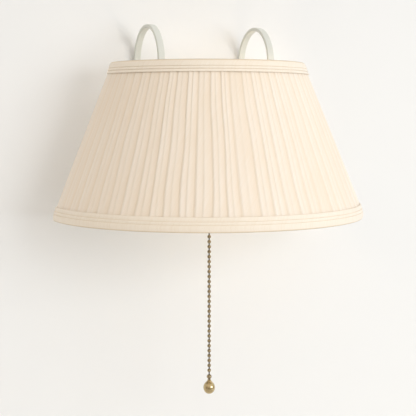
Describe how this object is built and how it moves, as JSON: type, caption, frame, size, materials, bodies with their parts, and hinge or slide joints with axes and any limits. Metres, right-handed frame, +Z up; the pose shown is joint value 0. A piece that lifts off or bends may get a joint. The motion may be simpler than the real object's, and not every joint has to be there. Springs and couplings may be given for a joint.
{
  "type": "fabric shade wall light",
  "caption": "Hook-over wall light: a half-round pleated cloth shade with folded bands, coated hooks, a bulb in a level lampholder and a bead-chain pull switch.",
  "frame": {"origin": "midway between the two hooks' seats, under the arches, in the plane of the shade's flat back", "axes": "+X to the right as seen from the front, +Y back into the panel, +Z up"},
  "size_m": [0.2768, 0.1785, 0.316],
  "materials": {
    "pleated_cloth": "fine pleated cloth, soft satin sheen",
    "band_cloth": "folded bias strip of the same cloth",
    "liner_sheet": "matt translucent sheet",
    "white_wire": "white enamel",
    "hook_coating": "soft white dip coating",
    "zinc_steel": "zinc plated",
    "spring_steel": "drawn wire",
    "black_plastic": "matt",
    "shell_brass": "lacquered",
    "contact_brass": "bare pressed sheet",
    "fibre": "waxed fibre board",
    "phenolic": "moulded resin",
    "solder": "tinned",
    "black_glass": "fused",
    "bulb_metal": "rolled sheet",
    "frosted_glass": "frosted inside",
    "clear_glass": "clear",
    "filament_wire": "drawn wire",
    "chain_brass": "polished, slightly darkened in the joints",
    "pull_brass": "high polish"
  },
  "bodies": {
    "lamp": {"pleated_cover": "pleated_cloth", "shade_liner": "liner_sheet", "top_band": "band_cloth", "bottom_band": "band_cloth", "top_ring": "white_wire", "bottom_ring": "white_wire", "shade_ribs": "white_wire", "cross_bar": "white_wire", "left_hook": "hook_coating", "right_hook": "hook_coating", "hook_screws": "zinc_steel", "hook_nuts": "zinc_steel", "socket_bracket": "zinc_steel", "bracket_screws": "zinc_steel", "bracket_nuts": "zinc_steel", "socket_nipple": "zinc_steel", "lock_washer": "zinc_steel", "lock_nut": "zinc_steel", "nipple_bush": "black_plastic", "cord_inlet": "black_plastic", "cap_hub": "shell_brass", "socket_cap": "shell_brass", "cap_set_screw": "shell_brass", "socket_shell": "shell_brass", "fibre_sleeve": "fibre", "switch_body": "phenolic", "lever_pin": "zinc_steel", "return_spring": "spring_steel", "chain_bell": "shell_brass", "screw_shell": "contact_brass", "centre_contact": "contact_brass", "terminal_screws": "contact_brass"},
    "lever": {"switch_lever": "contact_brass"},
    "chain_head": {"chain_top": "chain_brass"},
    "chain_swing": {"chain_upper": "chain_brass"},
    "chain_sway": {"chain_lower": "chain_brass"},
    "pull": {"chain_connector": "chain_brass", "pull_knob": "pull_brass"},
    "bulb_thread": {"bulb_contact": "solder", "bulb_insulator": "black_glass"},
    "bulb": {"bulb_cap": "bulb_metal", "bulb_glass": "frosted_glass", "bulb_stem": "clear_glass", "bulb_filament": "filament_wire"}
  },
  "joints": [
    {"name": "chain_pull", "type": "slide", "parent": "lamp", "child": "chain_head", "axis": [0, 0, -1], "range_m": [0, 0.005], "stiffness_N_per_m": 400, "springref_m": -0.005, "deforming": ["return_spring"]},
    {"name": "lever_turn", "type": "hinge", "parent": "lamp", "child": "lever", "pos_m": [-0.0176, -0.04777, -0.1056], "axis": [1, 0, 0], "range_deg": [0, 30.87]},
    {"name": "chain_swing", "type": "hinge", "parent": "chain_head", "child": "chain_swing", "pos_m": [-0.0176, -0.057, -0.13069], "axis": [1, 0, 0], "range_deg": [-35, 17]},
    {"name": "chain_sway", "type": "hinge", "parent": "chain_swing", "child": "chain_sway", "pos_m": [-0.0176, -0.057, -0.17755], "axis": [0, 1, 0], "range_deg": [-40, 40]},
    {"name": "pull_spin", "type": "hinge", "parent": "chain_sway", "child": "pull", "pos_m": [-0.0176, -0.057, -0.29797], "axis": [0, 0, 1], "continuous": true},
    {"name": "bulb_screw_out", "type": "slide", "parent": "lamp", "child": "bulb_thread", "axis": [1, 0, 0], "range_m": [0, 0.01814]},
    {"name": "bulb_turn", "type": "hinge", "parent": "bulb_thread", "child": "bulb", "pos_m": [0, -0.057, -0.101], "axis": [1, 0, 0], "range_deg": [0, 1800.5]}
  ],
  "couplings": [
    {"joint": "lever_turn", "follows": "chain_pull", "rad_per_m": 107.68},
    {"joint": "bulb_turn", "follows": "bulb_screw_out", "rad_per_m": 1731.6}
  ]
}
